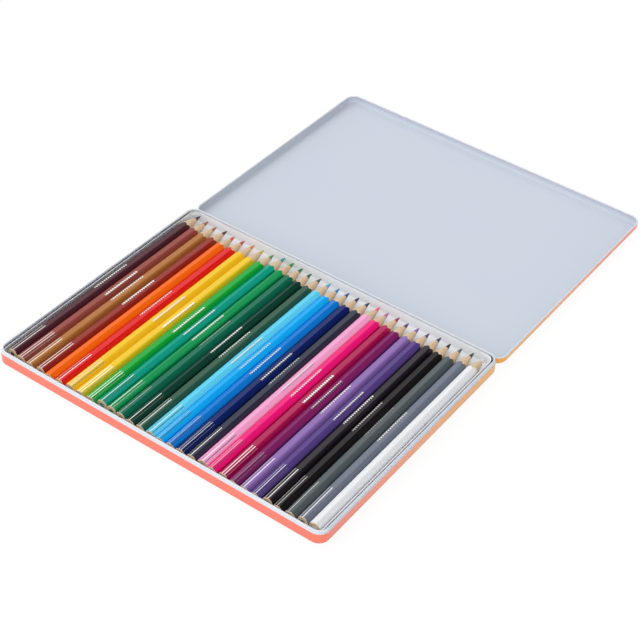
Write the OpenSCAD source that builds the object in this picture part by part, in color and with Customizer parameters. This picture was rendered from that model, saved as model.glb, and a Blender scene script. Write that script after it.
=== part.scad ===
// A flat hinged tin of thirty coloured pencils, lying open with its lid flat on the table.
// X runs along the row of pencils, Y points from their butts to their tips and the hinge, Z is up.
// The origin is the middle of the base's underside.

/* [Pencils] */
// Length of a sharpened pencil
pencil_len = 174; // [160:0.5:190]
// Width of a pencil across two opposite flats
pencil_flats = 7.0; // [6.3:0.1:7.6]
// Rounding of the pencil's six long edges
edge_round = 1.5; // [0.6:0.1:1.6]
// Diameter of the coloured core
core_d = 3.0; // [2.0:0.1:4.0]
// Glue line between the core and the wood
core_fit = 0.02; // [0.01:0.01:0.05]
// Angle between a pencil's axis and its sharpened cone
cone_angle = 12.4; // [11:0.1:20]
// Diameter of the blunted tip
tip_d = 0.7; // [0.4:0.1:1.2]
// Bevel round the flat butt end
butt_bevel = 0.3; // [0.1:0.05:0.5]
// Gap between neighbours in the row
pencil_gap = 0.11; // [0.05:0.01:0.3]

/* [Tray] */
// Thickness of the formed plastic sheet
tray_sheet = 0.4; // [0.3:0.05:0.6]
// Height of the tray's lip above the tin's floor
tray_h = 7.2; // [6:0.1:7.8]
// Radius of the tray's corners, outside, seen from above
tray_corner_r = 5; // [4.6:0.1:5.3]
// Radius between the tray's floor and its walls, outside
tray_foot_r = 1.4; // [0.8:0.1:1.8]
// Diameter of the rounded lip
tray_lip_d = 0.8; // [0.7:0.05:1.0]
// Gap between the end pencils of the row and the tray's side walls
side_gap = 1.35; // [0.4:0.05:2]
// Gap between a pencil's ends and the tray's end walls, before it slides
end_gap = 2.3; // [2.2:0.05:3.5]
// Number of cradle ribs across the tray
rib_count = 3; // [2:1:5]
// Width of a cradle rib
rib_w = 8; // [5:0.5:14]
// Distance from the pencils' ends to the middle of the outer ribs
rib_inset = 34; // [24:1:50]
// Height of plastic between the tray's floor and a pencil's seat
seat_rise = 0.4; // [0.3:0.05:0.8]
// Clearance between a pencil's edges and its seat
seat_fit = 0.1; // [0.05:0.05:0.2]
// How far below the pencils' axes the ribs end
rib_drop = 1.9; // [1.6:0.1:2.5]

/* [Base] */
// Thickness of the tinplate
sheet = 0.3; // [0.25:0.01:0.35]
// Height of the printed outer wall, up to the ledge that the lid rests over
band_h = 7.5; // [7:0.1:9]
// Height of the neck above the ledge, with its rolled rim
neck_h = 2.0; // [1.8:0.1:4]
// How far the neck is set in from the outer wall
step_in = 0.8; // [0.75:0.05:1.2]
// Diameter of the rim's inward roll
rim_d = 0.9; // [0.8:0.05:1.1]
// Radius of the base's corners, seen from above
corner_r = 7; // [6.5:0.25:7.25]
// Radius between the floor and the outer wall
foot_r = 1.2; // [0.8:0.1:2]
// Radius of the ledge's outer edge
ledge_r = 0.4; // [0.35:0.01:0.45]
// Radius of the bend from the ledge up to the neck
neck_r = 0.2; // [0.15:0.01:0.25]
// Gap between the rolled rim and the tray's side walls, with the tray in the middle
tray_side_fit = 1.05; // [0.3:0.05:2]
// Share of that gap by which the tray has slid to the left
tray_slide = 0.8; // [0:0.1:0.9]
// Gap between the neck and the tray's end walls
tray_end_fit = 0.15; // [0.1:0.05:0.3]

/* [Lid] */
// Depth of the lid
lid_depth = 5.6; // [5:0.1:9]
// Radius between the lid's panel and its walls
lid_edge_r = 2.5; // [1:0.1:3.2]
// Diameter of the lid's inward hem
hem_d = 1.05; // [1:0.05:1.4]
// Play between the hem and the base's neck
lid_play = 0.3; // [0.25:0.05:0.8]
// Gap between the closed lid and the ledge
lid_gap = 0.2; // [0.1:0.05:0.4]
// Gap between the two back walls when the lid lies open
open_gap = 0.3; // [0.2:0.05:0.6]

/* [Hinges] */
// Distance of each hinge from the middle of the back
hinge_x = 70; // [40:1:90]
// Diameter of the hinge pins
pin_d = 1.2; // [1:0.1:1.4]
// Radial clearance between a pin and its knuckles
pin_fit = 0.05; // [0.03:0.01:0.08]
// Width of one knuckle
knuckle_w = 7; // [5:0.5:10]
// Gap between neighbouring knuckles
knuckle_gap = 0.25; // [0.15:0.05:0.5]
// How far a pin stands out of the outer knuckles
pin_out = 0.4; // [0.2:0.1:1]
// Clearance round the knuckles in the slots of the two walls
slot_fit = 0.2; // [0.15:0.05:0.3]

/* [Hidden] */
// Each pencil's colour word, its lacquer, its roll and how far it has slid towards its tip, in row
// order from the left. At roll 0 two flats face the neighbours, a positive roll leans the top edge
// to the right, and at 30 a flat faces up.
PENCILS = [
  ["aubergine", "#3A1420", 28, 1.9],
  ["brown", "#8A3F3A", 25, 0.7],
  ["ochre", "#A06A28", 30, -0.5],
  ["red_brown", "#8A2A20", 30, 0.5],
  ["orange", "#FF6A00", 8, -0.9],
  ["red", "#E30015", 30, -0.3],
  ["golden_yellow", "#F9CB1E", 22, 0.2],
  ["yellow", "#F8D02A", 30, -0.3],
  ["green", "#12A82F", 25, 0],
  ["teal", "#009C80", -3, 2],
  ["emerald", "#00A060", -13, 1.5],
  ["dark_green", "#0A6A4A", 16, 0.7],
  ["deep_green", "#00402C", -3, -0.2],
  ["olive", "#26402C", 28, -0.2],
  ["light_blue", "#5CD4FF", 3, -0.2],
  ["cyan", "#00B8FF", 1, -0.9],
  ["blue", "#0070D8", 2, -0.5],
  ["navy", "#0A2468", 12, -0.4],
  ["midnight", "#1E2438", 28, -0.3],
  ["light_pink", "#FFA5D5", 3, 0.4],
  ["hot_pink", "#FF0A85", 4, -0.7],
  ["crimson", "#B8004A", 28, -0.3],
  ["plum", "#7A1058", -2, -1.3],
  ["lilac", "#8A62B8", 30, -1],
  ["purple", "#50388A", 6, -1.2],
  ["violet", "#201822", 30, 0.2],
  ["black", "#151010", 16, -1],
  ["green_grey", "#505E60", 16, -0.2],
  ["blue_grey", "#6A7288", 26, 0.9],
  ["white", "#F0F0F0", 5, 1.4]
];
COUNT = len(PENCILS);
function two_digits(n) = n < 10 ? str("0", n) : str(n);
function pencil_name(i) = str("pencil_", two_digits(i + 1), "_", PENCILS[i][0]);
$fn = 64;

// A small overlap that lets two shapes of one piece join
join = 0.02;
// How far a cut runs past what it cuts
past = 1;
// Width of the flat that each wall section carries into its floor
lap = 0.8;

// Pencil section: six rounded edges on a circle round the axis
edge_axis_r = (pencil_flats / 2 - edge_round) / cos(30);
pencil_r = edge_axis_r + edge_round;
core_r = core_d / 2;
bore_r = core_r + core_fit;
tip_r = tip_d / 2;
function half_width(i) = edge_axis_r * cos(30 - abs(PENCILS[i][2])) + edge_round;
// Distance from the left side of the row to a pencil's left side
function row_start(i) = i == 0 ? 0 : row_start(i - 1) + 2 * half_width(i - 1) + pencil_gap;
row_w = row_start(COUNT - 1) + 2 * half_width(COUNT - 1);
// From the middle of the tray to the middle of a pencil
function pencil_x(i) = row_start(i) + half_width(i) - row_w / 2;

// Tray, set on the tin's floor
tray_x = -tray_slide * tray_side_fit;
tray_z = sheet;
seat_r = pencil_r + seat_fit;
pencil_z = tray_z + tray_sheet + seat_rise + seat_r;
tray_w = row_w + 2 * (side_gap + tray_sheet);
tray_d = pencil_len + 2 * (end_gap + tray_sheet);
rib_span = pencil_len - 2 * rib_inset;

// Base, sized to take the tray
base_w = tray_w + 2 * (tray_side_fit + rim_d + step_in);
base_d = tray_d + 2 * (tray_end_fit + sheet + step_in);
base_h = band_h + neck_h;

// Lid, sized to go over the neck
lid_over = hem_d + lid_play - step_in;
lid_w = base_w + 2 * lid_over;
lid_d = base_d + 2 * lid_over;
lid_corner_r = corner_r + lid_over;
lid_rim_z = band_h + lid_gap;
closed_h = lid_rim_z + lid_depth;

// Hinge axis: half the closed height, so that the open lid lies flat beside the base
hinge_z = closed_h / 2;
hinge_y = base_d / 2 + (lid_over + open_gap) / 2;
pin_r = pin_d / 2;
knuckle_r = pin_r + pin_fit + sheet;
hinge_w = 3 * knuckle_w + 2 * knuckle_gap;
pin_len = hinge_w + 2 * pin_out;

// Shared shapes

// A quarter of a bent sheet round the origin, in the quadrant that sx and sy name
module bend(r, t, sx, sy) {
  intersection() {
    difference() {
      circle(r);
      circle(r - t);
    }
    translate([sx > 0 ? 0 : -r, sy > 0 ? 0 : -r]) square(r);
  }
}

// An upright strip of sheet: x is its outer face
module strip(x, t, y0, y1) {
  translate([x - t, y0]) square([t, y1 - y0]);
}

// Sweeps a wall section round a rounded rectangle; x = 0 of the section is the outer face
module swept_wall(w, d, r) {
  x = w / 2 - r;
  y = d / 2 - r;
  for (side = [0, 1]) rotate(180 * side) {
    translate([x, 0, 0]) rotate([90, 0, 0])
      linear_extrude(2 * y, center = true) translate([r, 0]) children();
    translate([0, y, 0]) rotate([90, 0, 90])
      linear_extrude(2 * x, center = true) translate([r, 0]) children();
    translate([x, y, 0]) rotate_extrude(angle = 90) translate([r, 0]) children();
    translate([-x, y, 0]) rotate(90) rotate_extrude(angle = 90) translate([r, 0]) children();
  }
}

// The flat that a wall section carries in from a foot of radius r, at height y
module floor_lap(r, t, y) {
  translate([-r - lap, y]) square([lap, t]);
}

// The floor inside a swept wall whose foot takes up the width inset: it ends halfway across the lap
module floor_plate(w, d, r, inset, t) {
  cut = inset + lap / 2;
  rounded_plate(w - 2 * cut, d - 2 * cut, r - cut, t);
}

// A flat plate with rounded corners
module rounded_plate(w, d, r, t) {
  linear_extrude(t) {
    square([w - 2 * r, d], center = true);
    square([w, d - 2 * r], center = true);
    for (sx = [-1, 1], sy = [-1, 1]) translate([sx * (w / 2 - r), sy * (d / 2 - r)]) circle(r);
  }
}

// A box given by its lowest and highest corners
module block(low, high) {
  translate(low) cube(high - low);
}

// A round bar along X, centred on a hinge axis
module hinge_bar(x, r, length) {
  translate([x, hinge_y, hinge_z]) rotate([0, 90, 0]) cylinder(r = r, h = length, center = true);
}

// Base

// Section of the base's wall: foot, outer wall, ledge, neck and the rim rolled inward
module base_section() {
  rim_r = rim_d / 2;
  floor_lap(foot_r, sheet, 0);
  translate([-foot_r, foot_r]) bend(foot_r, sheet, 1, -1);
  strip(0, sheet, foot_r, band_h - ledge_r);
  translate([-ledge_r, band_h - ledge_r]) bend(ledge_r, sheet, 1, 1);
  translate([neck_r - step_in, band_h - sheet]) square([step_in - neck_r - ledge_r, sheet]);
  translate([neck_r - step_in, band_h + neck_r]) bend(neck_r + sheet, sheet, -1, -1);
  strip(-step_in, sheet, band_h + neck_r, base_h - rim_r);
  translate([-step_in - rim_r, base_h - rim_r]) {
    bend(rim_r, sheet, 1, 1);
    bend(rim_r, sheet, -1, 1);
    bend(rim_r, sheet, -1, -1);
  }
}

// Slot in the back wall and ledge that a hinge's knuckles sit in
module base_slot(x) {
  half = hinge_w / 2 + slot_fit;
  inner = hinge_y - knuckle_r - slot_fit;
  block([x - half, inner, hinge_z - knuckle_r - slot_fit], [x + half, base_d / 2 + past, band_h + past]);
}

// One rolled knuckle with the tongue that carries it up from the outer wall
module base_knuckle(x) {
  hinge_bar(x, knuckle_r, knuckle_w);
  block(
    [x - knuckle_w / 2, base_d / 2 - sheet, hinge_z - knuckle_r - slot_fit - join],
    [x + knuckle_w / 2, base_d / 2, hinge_z]
  );
}

module base_tin() {
  outer = knuckle_w + knuckle_gap;
  color("salmon") difference() {
    union() {
      difference() {
        union() {
          floor_plate(base_w, base_d, corner_r, foot_r, sheet);
          swept_wall(base_w, base_d, corner_r) base_section();
        }
        for (x = [-hinge_x, hinge_x]) base_slot(x);
      }
      for (x = [-hinge_x, hinge_x], s = [-1, 1]) base_knuckle(x + s * outer);
    }
    for (x = [-hinge_x, hinge_x]) hinge_bar(x, pin_r + pin_fit, hinge_w + 2 * past);
  }
}

// Lid, drawn closed

// Section of the lid's wall: hem rolled inward, wall and the bend up to the panel
module lid_section() {
  hem_r = hem_d / 2;
  translate([-hem_r, hem_r]) {
    bend(hem_r, sheet, 1, -1);
    bend(hem_r, sheet, -1, -1);
    bend(hem_r, sheet, -1, 1);
  }
  strip(0, sheet, hem_r, lid_depth - lid_edge_r);
  translate([-lid_edge_r, lid_depth - lid_edge_r]) bend(lid_edge_r, sheet, 1, 1);
  floor_lap(lid_edge_r, sheet, lid_depth - sheet);
}

// The hem ends either side of a hinge, and the wall is cut back over the base's knuckles
module lid_slot(x) {
  half = hinge_w / 2 + slot_fit;
  hem_half = half + hem_d;
  wall_in = lid_d / 2 - sheet;
  block([x - hem_half, wall_in - hem_d, lid_rim_z - past], [x + hem_half, wall_in, lid_rim_z + hem_d + join]);
  cut_from = knuckle_w / 2;
  cut_top = hinge_z + knuckle_r + 2 * slot_fit;
  for (s = [0, 1]) translate([x, 0, 0]) mirror([s, 0, 0])
    block([cut_from, wall_in - past, lid_rim_z - past], [half, lid_d / 2 + past, cut_top]);
}

// The middle knuckle, hanging on a tongue of the lid's wall
module lid_knuckle(x) {
  hinge_bar(x, knuckle_r, knuckle_w);
  block([x - knuckle_w / 2, lid_d / 2 - sheet, hinge_z], [x + knuckle_w / 2, lid_d / 2, lid_rim_z + hem_d]);
}

module closed_lid() {
  difference() {
    union() {
      difference() {
        translate([0, 0, lid_rim_z]) {
          swept_wall(lid_w, lid_d, lid_corner_r) lid_section();
          translate([0, 0, lid_depth - sheet])
            floor_plate(lid_w, lid_d, lid_corner_r, lid_edge_r, sheet);
        }
        for (x = [-hinge_x, hinge_x]) lid_slot(x);
      }
      for (x = [-hinge_x, hinge_x]) lid_knuckle(x);
    }
    for (x = [-hinge_x, hinge_x]) hinge_bar(x, pin_r + pin_fit, hinge_w + 2 * past);
  }
}

// The lid is turned half a turn about the hinge axis to lie open
module lid_tin() {
  color("lightsteelblue")
    translate([0, 2 * hinge_y, 2 * hinge_z]) rotate([180, 0, 0]) closed_lid();
}

// A hinge pin: a plain wire with bevelled ends
module hinge_pin(x) {
  bevel = pin_r / 4;
  color("silver") translate([x - pin_len / 2, hinge_y, hinge_z]) rotate([0, 90, 0]) {
    cylinder(r1 = pin_r - bevel, r2 = pin_r, h = bevel);
    translate([0, 0, bevel]) cylinder(r = pin_r, h = pin_len - 2 * bevel);
    translate([0, 0, pin_len - bevel]) cylinder(r1 = pin_r, r2 = pin_r - bevel, h = bevel);
  }
}

// Tray

// Section of the tray's wall: foot, wall and rounded lip
module tray_section() {
  lip_r = tray_lip_d / 2;
  floor_lap(tray_foot_r, tray_sheet, 0);
  translate([-tray_foot_r, tray_foot_r]) bend(tray_foot_r, tray_sheet, 1, -1);
  strip(0, tray_sheet, tray_foot_r, tray_h - lip_r);
  translate([-tray_sheet / 2, tray_h - lip_r]) circle(lip_r);
}

// Side view of the ribs: a wall with one round seat under each pencil; t sets it in and down
module rib_profile(t) {
  half = row_w / 2 + side_gap - tray_foot_r - t;
  difference() {
    translate([-half, tray_z - t]) square([2 * half, pencil_z - rib_drop - tray_z]);
    for (i = [0:COUNT - 1]) translate([pencil_x(i), pencil_z]) circle(seat_r + t);
  }
}

// All the ribs, set in and down by t
module ribs(t) {
  for (k = [0:rib_count - 1]) translate([0, rib_span * (k / (rib_count - 1) - 0.5), 0])
    rotate([90, 0, 0]) linear_extrude(rib_w - 2 * t, center = true) rib_profile(t);
}

module pencil_tray() {
  color("white") translate([tray_x, 0, 0]) difference() {
    union() {
      translate([0, 0, tray_z]) {
        floor_plate(tray_w, tray_d, tray_corner_r, tray_foot_r, tray_sheet);
        swept_wall(tray_w, tray_d, tray_corner_r) tray_section();
      }
      ribs(0);
    }
    ribs(tray_sheet);
  }
}

// Pencils, drawn along Z from the butt at z = 0 and then laid down along Y

// The six-sided section with rounded edges
module pencil_section() {
  for (a = [0, 60, 120]) rotate(a) square([2 * edge_axis_r * sin(30), pencil_flats], center = true);
  for (a = [0:60:300]) rotate(a) translate([edge_axis_r, 0]) circle(edge_round);
}

// A turned body: bevelled butt, straight part and a cone down to the radius at the top
module sharpened(r, top_r, bevel) {
  cone_h = (r - top_r) / tan(cone_angle);
  top = pencil_len - (top_r - tip_r) / tan(cone_angle);
  rotate_extrude() polygon([[0, 0], [r - bevel, 0], [r, bevel], [r, top - cone_h], [top_r, top], [0, top]]);
}

module casing() {
  difference() {
    intersection() {
      linear_extrude(pencil_len) pencil_section();
      sharpened(pencil_r + join, bore_r, butt_bevel + join);
    }
    translate([0, 0, -past]) cylinder(r = bore_r, h = pencil_len + 2 * past);
  }
}

module core() {
  sharpened(core_r, tip_r, butt_bevel / 3);
}

module pencil(i) {
  y = PENCILS[i][3] - pencil_len / 2;
  color(PENCILS[i][1]) translate([tray_x + pencil_x(i), y, pencil_z]) rotate([-90, 0, 0]) {
    rotate(30 + PENCILS[i][2]) casing();
    core();
  }
}

base_tin();
lid_tin();
hinge_pin(-hinge_x);  // hinge_pin_left
hinge_pin(hinge_x);  // hinge_pin_right
pencil_tray();
for (i = [0:COUNT - 1]) pencil(i);
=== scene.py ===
import bpy
import numpy as np
from mathutils import Matrix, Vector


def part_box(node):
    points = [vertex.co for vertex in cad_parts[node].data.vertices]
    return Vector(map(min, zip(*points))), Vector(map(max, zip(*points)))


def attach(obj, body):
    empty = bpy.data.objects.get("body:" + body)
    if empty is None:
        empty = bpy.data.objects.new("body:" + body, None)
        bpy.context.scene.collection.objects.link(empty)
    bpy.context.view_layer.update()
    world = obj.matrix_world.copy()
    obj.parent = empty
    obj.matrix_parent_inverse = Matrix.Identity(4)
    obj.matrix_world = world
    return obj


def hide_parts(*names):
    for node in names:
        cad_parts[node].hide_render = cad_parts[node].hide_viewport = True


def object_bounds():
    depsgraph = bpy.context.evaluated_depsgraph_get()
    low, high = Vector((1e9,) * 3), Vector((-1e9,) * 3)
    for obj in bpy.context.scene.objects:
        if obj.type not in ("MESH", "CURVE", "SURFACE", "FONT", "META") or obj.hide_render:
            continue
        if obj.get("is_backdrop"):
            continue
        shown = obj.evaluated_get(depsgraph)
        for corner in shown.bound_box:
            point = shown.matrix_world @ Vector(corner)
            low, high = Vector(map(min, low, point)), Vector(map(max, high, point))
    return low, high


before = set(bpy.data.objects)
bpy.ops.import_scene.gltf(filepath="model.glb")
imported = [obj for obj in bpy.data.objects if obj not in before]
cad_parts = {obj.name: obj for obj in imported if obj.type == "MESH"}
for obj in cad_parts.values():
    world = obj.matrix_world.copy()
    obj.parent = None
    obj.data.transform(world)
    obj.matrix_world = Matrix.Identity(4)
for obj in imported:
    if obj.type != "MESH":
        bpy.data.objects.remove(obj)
cad_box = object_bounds()


# Base tin: a shallow pan of 0.3 mm tinplate, drawn in one press stroke with a stepped neck and
# a rim rolled inwards. The sheet is printed flat before it is pressed, so the colour runs
# round the foot and stops at the ledge; the neck, the rim and the inside are white enamel.
# Lengths are in metres, here and below.
LEDGE = 0.0075
PRINT_TOP = LEDGE - 0.00012
PRINT_STOPS = ((0.0, "#FC7C67"), (0.3, "#F99170"), (0.62, "#F3A86A"), (1.0, "#F1B04C"))
NECK_WHITE = "#DFE5EE"
BASE_MIDDLE = 0.0
BASE_FRONT, BASE_BACK = -0.091, 0.091
# A face looks outward where its level normal times its way from the pan's middle is more than
# LEANS_OUT metres, and downward where its normal's z is less than FACES_DOWN.
LEANS_OUT = 0.012
FACES_DOWN = -0.3


def linear(code):
    """sRGB hex to linear RGBA: c / 12.92 up to 0.04045, else ((c + 0.055) / 1.055) ** 2.4."""
    part = np.array([int(code[i:i + 2], 16) for i in (1, 3, 5)]) / 255
    rgb = np.where(part <= 0.04045, part / 12.92, ((part + 0.055) / 1.055) ** 2.4)
    return (*rgb.tolist(), 1.0)


def add(tree, kind, inputs=(), stops=(), **settings):
    """Adds one node. Settings go on the node, and stops, pairs of place and hex, on its colour
    ramp. Inputs go on its sockets, by order in a tuple or by name in a dict. Each is a value
    or a socket, or else a node, which gives its first output in use."""
    item = tree.nodes.new("ShaderNode" + kind)
    for key, value in settings.items():
        setattr(item, key, value)
    for key, value in inputs.items() if isinstance(inputs, dict) else enumerate(inputs):
        if isinstance(value, bpy.types.Node):
            value = next(socket for socket in value.outputs if socket.enabled)
        if isinstance(value, bpy.types.NodeSocket):
            tree.links.new(value, item.inputs[key])
        else:
            item.inputs[key].default_value = value
    if stops:
        bar = item.color_ramp.elements
        bar[0].position, bar[1].position = stops[0][0], stops[-1][0]
        bar[0].color, bar[1].color = linear(stops[0][1]), linear(stops[-1][1])
        for place, code in stops[1:-1]:
            bar.new(place).color = linear(code)
    return item


def new_material(name):
    """An empty material; returns it and its node tree."""
    material = bpy.data.materials.new(name)
    material.use_nodes = True
    material.node_tree.nodes.clear()
    return material, material.node_tree


def outside_of_sheet(tree, place, middle_y):
    """1 on the outer face of a pressed pan, where the normal leans away from the pan's middle
    or down, and 0 on its inner face."""
    from_middle = add(tree, "VectorMath", (place.outputs["Object"], (0, -middle_y, 0)))
    level = add(tree, "VectorMath", (place.outputs["Normal"], (1, 1, 0)), operation="MULTIPLY")
    lean = add(tree, "VectorMath", (level, from_middle), operation="DOT_PRODUCT")
    outward = add(tree, "Math", (lean, LEANS_OUT), operation="GREATER_THAN")
    normal = add(tree, "SeparateXYZ", (place.outputs["Normal"],))
    downward = add(tree, "Math", (normal.outputs["Z"], FACES_DOWN), operation="LESS_THAN")
    return add(tree, "Math", (outward, downward), operation="MAXIMUM")


def print_along(tree, spot, coral_end, gold_end):
    """The print's colour along the tin, between the y of its coral and of its gold end."""
    along = add(tree, "MapRange",
                {"Value": spot.outputs["Y"], "From Min": coral_end, "From Max": gold_end})
    return add(tree, "ValToRGB", (along,), stops=PRINT_STOPS)


def orange_peel(tree, place, width, depth):
    """The faint ripple of a stoved varnish, from the width and the depth of one ripple."""
    noise = add(tree, "TexNoise",
                {"Vector": place.outputs["Object"], "Scale": 1 / width, "Detail": 2.0})
    return add(tree, "Bump", {"Height": noise, "Strength": 0.35, "Distance": depth})


def printed_tinplate():
    """Offset print under clear varnish: smooth even colour with a sharp gloss, and a white
    enamel with a softer gloss on the neck, the rim and the inside."""
    material, tree = new_material("printed_tinplate_varnish")
    place = add(tree, "TexCoord")
    spot = add(tree, "SeparateXYZ", (place.outputs["Object"],))
    below_ledge = add(tree, "Math", (spot.outputs["Z"], PRINT_TOP), operation="LESS_THAN")
    outside = outside_of_sheet(tree, place, BASE_MIDDLE)
    printed = add(tree, "Math", (below_ledge, outside), operation="MULTIPLY")
    colour = add(tree, "Mix", {"Factor": printed, "A": linear(NECK_WHITE),
                               "B": print_along(tree, spot, BASE_FRONT, BASE_BACK)},
                 data_type="RGBA")
    rough = add(tree, "MapRange", {"Value": printed, "To Min": 0.34, "To Max": 0.26})
    ripple = orange_peel(tree, place, 0.0015, 0.00002)
    shader = add(tree, "BsdfPrincipled",
                 {"Base Color": colour, "Roughness": rough, "IOR": 1.5, "Normal": ripple})
    add(tree, "OutputMaterial", {"Surface": shader})
    return material


def dress(node, material):
    """Gives a CAD node's object one material."""
    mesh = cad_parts[node].data
    mesh.materials.clear()
    mesh.materials.append(material)


dress("base_tin", printed_tinplate())


# Lid tin: a pan of the same sheet, with a larger radius round its foot and hemmed inwards round
# the rim. Outside it carries the print, from coral at its front edge to gold at the hinges;
# inside it is satin enamel in a pale blue-grey, which shows soft broad reflections.
LID_MIDDLE = 0.18275
LID_FRONT, LID_HINGE = 0.274, 0.092
LID_WHITE, LID_CLOUD = "#CDD6E2", "#C9D3E0"
RIM_WHITE = "#DCE2EA"
LID_RIM = 0.0052
RIM_FADE = 0.001


def lid_enamel():
    """Roller-coated enamel over tinplate: pale blue-grey and satin, with the print outside."""
    material, tree = new_material("satin_enamel_on_tinplate")
    place = add(tree, "TexCoord")
    spot = add(tree, "SeparateXYZ", (place.outputs["Object"],))
    cloud = add(tree, "TexNoise",
                {"Vector": place.outputs["Object"], "Scale": 14.0, "Detail": 1.0})
    inside = add(tree, "Mix", {"Factor": cloud, "A": linear(LID_WHITE), "B": linear(LID_CLOUD)},
                 data_type="RGBA")
    hem = add(tree, "MapRange",
              {"Value": spot.outputs["Z"], "From Min": LID_RIM - RIM_FADE, "From Max": LID_RIM})
    inside = add(tree, "Mix", {"Factor": hem, "A": inside, "B": linear(RIM_WHITE)},
                 data_type="RGBA")
    outside = outside_of_sheet(tree, place, LID_MIDDLE)
    below_rim = add(tree, "Math", (spot.outputs["Z"], LID_RIM), operation="LESS_THAN")
    printed = add(tree, "Math", (outside, below_rim), operation="MULTIPLY")
    colour = add(tree, "Mix", {"Factor": printed, "A": inside,
                               "B": print_along(tree, spot, LID_FRONT, LID_HINGE)},
                 data_type="RGBA")
    rough = add(tree, "MapRange", {"Value": printed, "To Min": 0.42, "To Max": 0.26})
    ripple = orange_peel(tree, place, 0.002, 0.00002)
    shader = add(tree, "BsdfPrincipled",
                 {"Base Color": colour, "Roughness": rough, "IOR": 1.5, "Normal": ripple})
    add(tree, "OutputMaterial", {"Surface": shader})
    return material


dress("lid_tin", lid_enamel())


# Hinge pins: two straight pieces of drawn steel wire pushed through the rolled knuckles of the
# base and the lid. The zinc on them is dull and carries fine marks from drawing.
WIRE_MARKS = (60, 6000, 6000)


def zinc_wire():
    """Zinc-plated drawn wire: grey metal with fine marks along it."""
    material, tree = new_material("zinc_plated_drawn_wire")
    place = add(tree, "TexCoord")
    stretch = add(tree, "Mapping", {"Vector": place.outputs["Object"], "Scale": WIRE_MARKS})
    marks = add(tree, "TexNoise", {"Vector": stretch, "Scale": 1.0})
    colour = add(tree, "Mix", {"Factor": marks, "A": linear("#9EA3A8"), "B": linear("#C4C8CC")},
                 data_type="RGBA")
    rough = add(tree, "MapRange", {"Value": marks, "To Min": 0.28, "To Max": 0.45})
    shader = add(tree, "BsdfPrincipled",
                 {"Base Color": colour, "Roughness": rough, "Metallic": 1.0})
    add(tree, "OutputMaterial", {"Surface": shader})
    return material


wire = zinc_wire()
dress("hinge_pin_left", wire)
dress("hinge_pin_right", wire)


# Tray: one vacuum-formed sheet of 0.4 mm white plastic that drops into the base. Three ribs
# carry a round seat for each pencil, and a soft lip runs round the top.
def formed_plastic():
    """Vacuum-formed polystyrene: clean white and glossy, with a slow waviness from forming."""
    material, tree = new_material("vacuum_formed_polystyrene")
    place = add(tree, "TexCoord")
    cloud = add(tree, "TexNoise", {"Vector": place.outputs["Object"], "Scale": 60.0})
    colour = add(tree, "Mix", {"Factor": cloud, "A": linear("#F8FAFD"), "B": linear("#F5F8FC")},
                 data_type="RGBA")
    rough = add(tree, "MapRange", {"Value": cloud, "To Min": 0.16, "To Max": 0.24})
    ripple = orange_peel(tree, place, 0.006, 0.00008)
    shader = add(tree, "BsdfPrincipled",
                 {"Base Color": colour, "Roughness": rough, "IOR": 1.55, "Normal": ripple})
    add(tree, "OutputMaterial", {"Surface": shader})
    return material


dress("pencil_tray", formed_plastic())


# Pencils: each casing is two grooved wood slats glued round a coloured core, planed to a
# hexagon with eased edges, dipped in lacquer, stamped with foil and sharpened. Each lies in
# its seats as it rolled there, so the edges stand at different angles.
# Columns: node, lacquer, degrees by which the upper edge leans right, core, and where the foil
# lies in degrees right of the top, or None where it faces down.
PENCILS = (
    ("pencil_01_aubergine", "#4E1E2A", 28, "#59303F", -12),
    ("pencil_02_brown", "#98483E", 25, "#AD5F45", -1),
    ("pencil_03_ochre", "#B57334", 30, "#B67A45", -15),
    ("pencil_04_red_brown", "#96241A", 30, "#5E3A34", -1),
    ("pencil_05_orange", "#FF6E08", 8, "#E4694A", None),
    ("pencil_06_red", "#E60A14", 30, "#D0424E", -20),
    ("pencil_07_golden_yellow", "#FBCA20", 22, "#E48E2C", -5),
    ("pencil_08_yellow", "#F8CE20", 30, "#D4B83A", 2),
    ("pencil_09_green", "#08AC38", 25, "#5E9E48", 5),
    ("pencil_10_teal", "#05A28B", -3, "#2AA08C", -8),
    ("pencil_11_emerald", "#059954", -13, "#2C8C4A", -5),
    ("pencil_12_dark_green", "#056F54", 16, "#2A7A58", -32),
    ("pencil_13_deep_green", "#053E30", -3, "#2A6650", 11),
    ("pencil_14_olive", "#255540", 28, "#56604E", -20),
    ("pencil_15_light_blue", "#62DAFC", 3, "#4FB4DC", -8),
    ("pencil_16_cyan", "#08B0FA", 1, "#3C96C8", -27),
    ("pencil_17_blue", "#057CD9", 2, "#3C5C9A", -22),
    ("pencil_18_navy", "#051F69", 12, "#34345E", 14),
    ("pencil_19_midnight", "#24283E", 28, "#45456A", -30),
    ("pencil_20_light_pink", "#FEACDA", 3, "#EE6A90", 0),
    ("pencil_21_hot_pink", "#F8107E", 4, "#C468B0", -20),
    ("pencil_22_crimson", "#B00551", 28, "#A83258", -1),
    ("pencil_23_plum", "#821E64", -2, "#603A80", 14),
    ("pencil_24_lilac", "#8F6CB4", 30, "#8E64B4", -18),
    ("pencil_25_purple", "#594189", 6, "#573F78", 2),
    ("pencil_26_violet", "#1C1420", 30, "#50427A", -18),
    ("pencil_27_black", "#120E0F", 16, "#302C30", -26),
    ("pencil_28_green_grey", "#576064", 16, "#666A78", -42),
    ("pencil_29_blue_grey", "#707788", 26, "#4A5058", -20),
    ("pencil_30_white", "#F2F3F6", 5, "#E2E4E8", None),
)
# The casing's width across flats, edge rounding, bore, and the bevel round its butt. TIP is
# the radius of the blunted tip and CONE the rise of the sharpened cone.
FLATS = 0.0070
EDGE_ROUND = 0.0015
BORE = 0.0015
BUTT_BEVEL = 0.0003
TIP = 0.00035
CONE = np.tan(np.radians(12.4))
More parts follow.
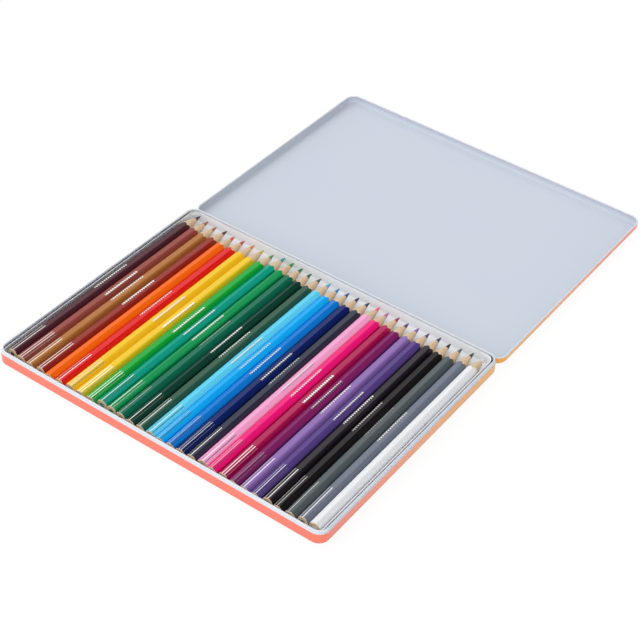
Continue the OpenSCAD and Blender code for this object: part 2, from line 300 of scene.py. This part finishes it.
# Points round each eased edge and, as shares of its length, along each flat. Then the rings
# along the cone and the side, and the bands between rings: 1 is bare wood and 0 is lacquer.
EDGE_POINTS = 7
FLAT_SHARES = np.array([0.04, 0.15, 0.32, 0.5, 0.68, 0.85, 0.96])
CONE_SHARES = (0.33, 0.66, 1.0)
SIDE_SHARES = (0.02, 0.5, 0.98, 1.0)
BARE_WOOD = np.array([1, 1, 1, 0, 0, 0, 0, 1, 1, 1])
# The core: its radius, its sides, and the rings of its worn tip as radius and distance back
# from the tip, both in radii of the tip.
LEAD = BORE - 0.00002
LEAD_SIDES = 32
TIP_ROUND = 0.4
WORN_TIP = ((0.4, 0.0), (0.8, 0.1), (1.0, TIP_ROUND), (2.2, TIP_ROUND + 1.2 / CONE))
# The foil: three lines from the butt, and a row of diamonds from MOTIF_START to MOTIF_END.
FOIL = "#ECEAE6"
FOIL_LINE_LENGTH = 0.028
FOIL_LINE_PITCH = 0.00165
FOIL_LINE_WIDTH = 0.00042
MOTIF_START, MOTIF_END = 0.073, 0.103
MOTIF_PITCH = 0.0018
MOTIF_HALF_WIDTH, MOTIF_HALF_LENGTH = 0.00125, 0.00085


def hexagon(roll):
    """Outline of a hexagon with eased edges, as x and z: at each corner an arc of radius
    EDGE_ROUND turning through 60 degrees, and straight flats between them."""
    reach = (FLATS / 2 - EDGE_ROUND) / np.cos(np.radians(30))
    corner = np.radians(90 - roll + 60 * np.arange(6))[:, None]
    turn = corner + np.radians(np.linspace(-30, 30, EDGE_POINTS))
    arc_x = reach * np.cos(corner) + EDGE_ROUND * np.cos(turn)
    arc_z = reach * np.sin(corner) + EDGE_ROUND * np.sin(turn)
    next_x, next_z = np.roll(arc_x[:, 0], -1)[:, None], np.roll(arc_z[:, 0], -1)[:, None]
    flat_x = arc_x[:, -1:] * (1 - FLAT_SHARES) + next_x * FLAT_SHARES
    flat_z = arc_z[:, -1:] * (1 - FLAT_SHARES) + next_z * FLAT_SHARES
    return np.hstack([arc_x, flat_x]).ravel(), np.hstack([arc_z, flat_z]).ravel()


def skin(name, points, closed, sharp, uv=None, slots=None):
    """Joins rings of points (rings, points round, 3) into one closed skin of quads. A closed
    skin runs on from its last ring to its first; an open one gets a flat cap at each end.
    Edges over sharp degrees stay sharp. uv holds one pair per ring and per column, with one
    more of each for the seams, and slots a material slot for the band after each ring."""
    rings, sides = points.shape[:2]
    down, across = np.meshgrid(np.arange(rings if closed else rings - 1), np.arange(sides),
                               indexing="ij")
    below, beside = (down + 1) % rings, (across + 1) % sides
    quads = np.stack([down * sides + across, down * sides + beside,
                      below * sides + beside, below * sides + across], -1).reshape(-1, 4)
    flat = points.reshape(-1, 3)
    a, b, c, d = (flat[quads[:, i]] for i in range(4))
    from_centre = (a + b + c + d) / 4 - flat.mean(axis=0)
    outward = np.einsum("ij,ij->", np.cross(c - a, d - b), from_centre) > 0
    faces = (quads if outward else quads[:, ::-1]).tolist()
    if not closed:
        first, last = list(range(sides)), list(range((rings - 1) * sides, rings * sides))
        faces += [first[::-1], last] if outward else [first, last[::-1]]
    mesh = bpy.data.meshes.new(name)
    mesh.from_pydata(flat.tolist(), [], faces)
    mesh.shade_smooth()
    mesh.set_sharp_from_angle(angle=np.radians(sharp))
    if uv is not None:
        corners = [(down, across), (down, across + 1), (down + 1, across + 1), (down + 1, across)]
        place = np.stack([uv[i, j] for i, j in corners], axis=2).reshape(-1, 4, 2)
        place = place if outward else place[:, ::-1]
        layer = mesh.uv_layers.new(name="UVMap")
        layer.data.foreach_set("uv", place.ravel().astype(np.float32))
    if slots is not None:
        mesh.polygons.foreach_set("material_index", np.repeat(slots, sides).astype(np.int32))
    piece = bpy.data.objects.new(name, mesh)
    bpy.context.collection.objects.link(piece)
    return piece


def foil_stamp(tree, place):
    """1 where foil lies and 0 elsewhere. The UV map runs round the casing and along it."""
    uv = add(tree, "SeparateXYZ", (place.outputs["UV"],))
    turned = add(tree, "Math", (uv.outputs["X"], 0.5), operation="SUBTRACT")
    across = add(tree, "Math", (turned, PERIMETER), operation="MULTIPLY")
    along = add(tree, "Math", (uv.outputs["Y"], LENGTH), operation="MULTIPLY")
    # Three lines: the nearest one is number -1, 0 or 1.
    number = add(tree, "Math", (across, FOIL_LINE_PITCH), operation="DIVIDE")
    number = add(tree, "Math", (number,), operation="ROUND")
    number = add(tree, "Math", (number, 1.0), operation="MINIMUM")
    number = add(tree, "Math", (number, -1.0), operation="MAXIMUM")
    nearest = add(tree, "Math", (number, FOIL_LINE_PITCH), operation="MULTIPLY")
    off = add(tree, "Math", (across, nearest), operation="SUBTRACT")
    off = add(tree, "Math", (off,), operation="ABSOLUTE")
    line = add(tree, "Math", (off, FOIL_LINE_WIDTH / 2), operation="LESS_THAN")
    near_butt = add(tree, "Math", (along, FOIL_LINE_LENGTH), operation="LESS_THAN")
    line = add(tree, "Math", (line, near_butt), operation="MULTIPLY")
    # Diamonds: the shares of the half width and the half length add up to less than 1.
    step = add(tree, "Math", (along, MOTIF_START), operation="SUBTRACT")
    step = add(tree, "Math", (step, MOTIF_PITCH / 2), operation="PINGPONG")
    wide = add(tree, "Math", (across,), operation="ABSOLUTE")
    wide = add(tree, "Math", (wide, MOTIF_HALF_WIDTH), operation="DIVIDE")
    both = add(tree, "Math", (step, 1 / MOTIF_HALF_LENGTH, wide), operation="MULTIPLY_ADD")
    motif = add(tree, "Math", (both, 1.0), operation="LESS_THAN")
    after = add(tree, "Math", (along, MOTIF_START), operation="GREATER_THAN")
    motif = add(tree, "Math", (motif, after), operation="MULTIPLY")
    before = add(tree, "Math", (along, MOTIF_END), operation="LESS_THAN")
    motif = add(tree, "Math", (motif, before), operation="MULTIPLY")
    return add(tree, "Math", (line, motif), operation="MAXIMUM")


def lacquer(name, code):
    """Nitrocellulose lacquer, dipped in several coats: deep even colour with a soft gloss and
    a slight ripple along the pencil. Silver foil is hot-stamped on it."""
    material, tree = new_material("dipped_lacquer_" + name)
    place = add(tree, "TexCoord")
    foil = foil_stamp(tree, place)
    stretch = add(tree, "Mapping", {"Vector": place.outputs["Object"], "Scale": (900, 60, 900)})
    ripple = add(tree, "TexNoise", {"Vector": stretch, "Scale": 1.0, "Detail": 3.0})
    shade = add(tree, "MapRange", {"Value": ripple, "To Min": 0.94, "To Max": 1.05})
    coat = add(tree, "HueSaturation", {"Value": shade, "Color": linear(code)})
    colour = add(tree, "Mix", {"Factor": foil, "A": coat, "B": linear(FOIL)}, data_type="RGBA")
    rough = add(tree, "MapRange", {"Value": ripple, "To Min": 0.24, "To Max": 0.34})
    bump = add(tree, "Bump", {"Height": ripple, "Strength": 0.25, "Distance": 0.00002})
    shader = add(tree, "BsdfPrincipled", {"Base Color": colour, "Metallic": foil,
                                          "Roughness": rough, "IOR": 1.42, "Normal": bump})
    add(tree, "OutputMaterial", {"Surface": shader})
    return material


def sharpened_wood():
    """Basswood cut by a sharpener: pale, matte, with fine grain lines along the pencil."""
    material, tree = new_material("sharpened_basswood")
    place = add(tree, "TexCoord")
    stretch = add(tree, "Mapping",
                  {"Vector": place.outputs["Object"], "Scale": (2600, 160, 2600)})
    grain = add(tree, "TexNoise", {"Vector": stretch, "Scale": 1.0, "Detail": 4.0})
    colour = add(tree, "ValToRGB", (grain,),
                 stops=((0.25, "#CBA582"), (0.5, "#E2C5A2"), (0.75, "#EED6B8")))
    bump = add(tree, "Bump", {"Height": grain, "Strength": 0.4, "Distance": 0.00005})
    shader = add(tree, "BsdfPrincipled",
                 {"Base Color": colour, "Roughness": 0.62, "IOR": 1.45, "Normal": bump})
    add(tree, "OutputMaterial", {"Surface": shader})
    return material


def colour_core(name, code):
    """Wax and pigment core: matte to slightly waxy, a little uneven where it was sharpened."""
    material, tree = new_material("wax_core_" + name)
    place = add(tree, "TexCoord")
    specks = add(tree, "TexNoise",
                 {"Vector": place.outputs["Object"], "Scale": 2500.0, "Detail": 3.0})
    shade = add(tree, "MapRange", {"Value": specks, "To Min": 0.8, "To Max": 1.15})
    tone = add(tree, "HueSaturation", {"Value": shade, "Color": linear(code)})
    bump = add(tree, "Bump", {"Height": specks, "Strength": 0.3, "Distance": 0.00005})
    shader = add(tree, "BsdfPrincipled",
                 {"Base Color": tone, "Roughness": 0.55, "IOR": 1.45, "Normal": bump})
    add(tree, "OutputMaterial", {"Surface": shader})
    return material


first_low, first_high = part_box("pencil_01_aubergine")
LENGTH = first_high[1] - first_low[1]
outline = np.stack(hexagon(0), -1)
PERIMETER = float(np.linalg.norm(outline - np.roll(outline, 1, axis=0), axis=1).sum())
wood = sharpened_wood()

for node, code, roll, core_code, foil_angle in PENCILS:
    low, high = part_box(node)
    middle_x, middle_z, butt, tip = (low[0] + high[0]) / 2, (low[2] + high[2]) / 2, low[1], high[1]
    # The casing: rings from the bore's mouth down the cone, along the side and to the butt. Each
    # ring's first point, where the UV map has its seam, lies opposite the foil.
    x, z = hexagon(roll)
    foil = np.radians(180 if foil_angle is None else foil_angle)
    opposite = int(np.argmin(x * np.sin(foil) + z * np.cos(foil)))
    x, z = np.roll(x, -opposite), np.roll(z, -opposite)
    out, turn = np.hypot(x, z), np.arctan2(z, x)
    cut = tip - (out - TIP) / CONE
    mouth = np.full_like(out, tip - (BORE - TIP) / CONE)
    bore, end = np.full_like(out, BORE), np.full_like(out, butt)
    rows = [(bore, mouth)]
    for share in CONE_SHARES:
        rows.append((bore + (out - bore) * share, mouth + (cut - mouth) * share))
    for share in SIDE_SHARES:
        rows.append((out, cut + (butt + BUTT_BEVEL - cut) * share))
    rows += [(out - BUTT_BEVEL, end), (bore, end)]
    points = np.stack([np.stack([r * np.cos(turn) + middle_x, y, r * np.sin(turn) + middle_z], -1)
                       for r, y in rows])
    step = np.hypot(np.diff(np.append(x, x[0])), np.diff(np.append(z, z[0])))
    around = np.append(0, np.cumsum(step)) / step.sum()
    along = np.stack([np.append(y, y[0]) for r, y in rows + rows[:1]]) - butt
    uv = np.stack([np.broadcast_to(around, along.shape), along / LENGTH], -1)
    name = node.split("_", 2)[2]
    casing = skin(node + "_casing", points, True, 12, uv, BARE_WOOD)
    casing.data.materials.append(lacquer(name, code))
    casing.data.materials.append(wood)
    # The core: rings from its worn tip to its full radius, and a straight run to the butt.
    turn = np.linspace(0, 2 * np.pi, LEAD_SIDES, endpoint=False)
    sizes = np.array([radius * TIP for radius, back in WORN_TIP] + [LEAD, LEAD])
    full = tip - (LEAD - TIP) / CONE - TIP_ROUND * TIP
    places = np.array([tip - back * TIP for radius, back in WORN_TIP] + [full, butt])
    ring = np.stack([np.cos(turn), np.zeros_like(turn), np.sin(turn)], -1)
    points = ring * sizes[:, None, None] + np.array([middle_x, 0, middle_z])
    points[:, :, 1] = places[:, None]
    core = skin(node + "_core", points, False, 35)
    core.data.materials.append(colour_core(name, core_code))
    for piece in (casing, core):
        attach(piece, node)
    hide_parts(node)
    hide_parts(node)


# Studio: a white sweep on the floor, daylight from a broad window on the left, and the camera
# at the photograph's angle.
def studio_floor():
    """Matte white paper. The camera and reflections see it near white, and it keeps a faint
    shadow under the object."""
    material, tree = new_material("white_paper_sweep")
    place = add(tree, "TexCoord")
    fleck = add(tree, "TexNoise", {"Vector": place.outputs["Object"], "Scale": 40.0})
    colour = add(tree, "Mix", {"Factor": fleck, "A": linear("#F4F4F4"), "B": linear("#F7F7F7")},
                 data_type="RGBA")
    paper = add(tree, "BsdfPrincipled", {"Base Color": colour, "Roughness": 0.9})
    seen = add(tree, "LightPath")
    direct = add(tree, "Math", (seen.outputs["Is Camera Ray"], seen.outputs["Is Glossy Ray"]),
                 operation="MAXIMUM")
    direct = add(tree, "Math", (direct, seen.outputs["Is Transmission Ray"]),
                 operation="MAXIMUM")
    lift = add(tree, "Math", (direct, 0.88), operation="MULTIPLY")
    glow = add(tree, "Emission", {"Color": (1, 1, 1, 1), "Strength": 1.02})
    add(tree, "OutputMaterial", {"Surface": add(tree, "MixShader", (lift, paper, glow))})
    return material


bpy.ops.mesh.primitive_plane_add(size=30, location=(0, 0, 0))
floor = bpy.context.object
floor.name = "floor"
floor.data.materials.append(studio_floor())
floor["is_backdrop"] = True

# The sky's even light, then for each light its direction, the cosines at which it starts and
# is full, and what it adds; and for each dark flag the same, and the share that it takes away.
SKY = 0.98
WINDOW = ((-0.75, 0.44, 0.49), 0.3, 0.85, 0.5)
SCREEN = ((0.15, -0.85, 0.5), 0.1, 0.9, 0.2)
DARK_CORNER = ((0.42, 0.64, 0.64), 0.7, 0.93, 0.95)
LOW_FLAG = ((-0.77, 0.64, 0.05), 0.78, 0.95, 0.65)

world = bpy.data.worlds.new("studio")
bpy.context.scene.world = world
world.use_nodes = True
tree = world.node_tree
tree.nodes.clear()
way = add(tree, "TexCoord").outputs["Generated"]


def lobe(direction, start, full):
    """0 to 1 as a ray's way comes nearer to the given direction, between two cosines."""
    near = add(tree, "VectorMath", (way, direction), operation="DOT_PRODUCT")
    return add(tree, "MapRange", {"Value": near, "From Min": start, "From Max": full},
               interpolation_type="SMOOTHSTEP")


light = SKY
for direction, start, full, level in (WINDOW, SCREEN):
    light = add(tree, "Math", (lobe(direction, start, full), level, light),
                operation="MULTIPLY_ADD")
for direction, start, full, share in (DARK_CORNER, LOW_FLAG):
    shade = add(tree, "Math", (lobe(direction, start, full), -share, 1.0),
                operation="MULTIPLY_ADD")
    light = add(tree, "Math", (light, shade), operation="MULTIPLY")
# The camera itself sees plain white behind the object.
seen = add(tree, "LightPath").outputs["Is Camera Ray"]
strength = add(tree, "Mix", {"Factor": seen, "A": light, "B": 1.0})
sky = add(tree, "Background", {"Color": (1, 1, 1, 1), "Strength": strength})
add(tree, "OutputWorld", {"Surface": sky})

# The camera's axes, place and lens, fitted to the tin's edges and the pencils' tips. The frame
# is 640 pixels wide, and its middle lies half a pixel from the fitted one.
RIGHT = (0.81072322, 0.58290644, 0.05429493)
UP = (-0.41249412, 0.5029628, 0.75952421)
BACK = (0.41542322, -0.63816025, 0.6482091)
EYE = (0.427849, -0.584729, 0.653768)
HALF_PIXEL = 0.5 / 640
lens = bpy.data.cameras.new("camera")
lens.sensor_width = 36.0
lens.lens = 92.694
lens.clip_start, lens.clip_end = 0.01, 100.0
lens.shift_x, lens.shift_y = -HALF_PIXEL, HALF_PIXEL
camera = bpy.data.objects.new("camera", lens)
bpy.context.collection.objects.link(camera)
turned = Matrix((RIGHT, UP, BACK)).transposed().to_4x4()
camera.matrix_world = Matrix.Translation(EYE) @ turned
bpy.context.scene.camera = camera
bpy.context.scene.view_settings.view_transform = "Standard"

dressed_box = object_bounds()
sizes = {"cad": [list(corner) for corner in cad_box], "visual": [list(corner) for corner in dressed_box]}
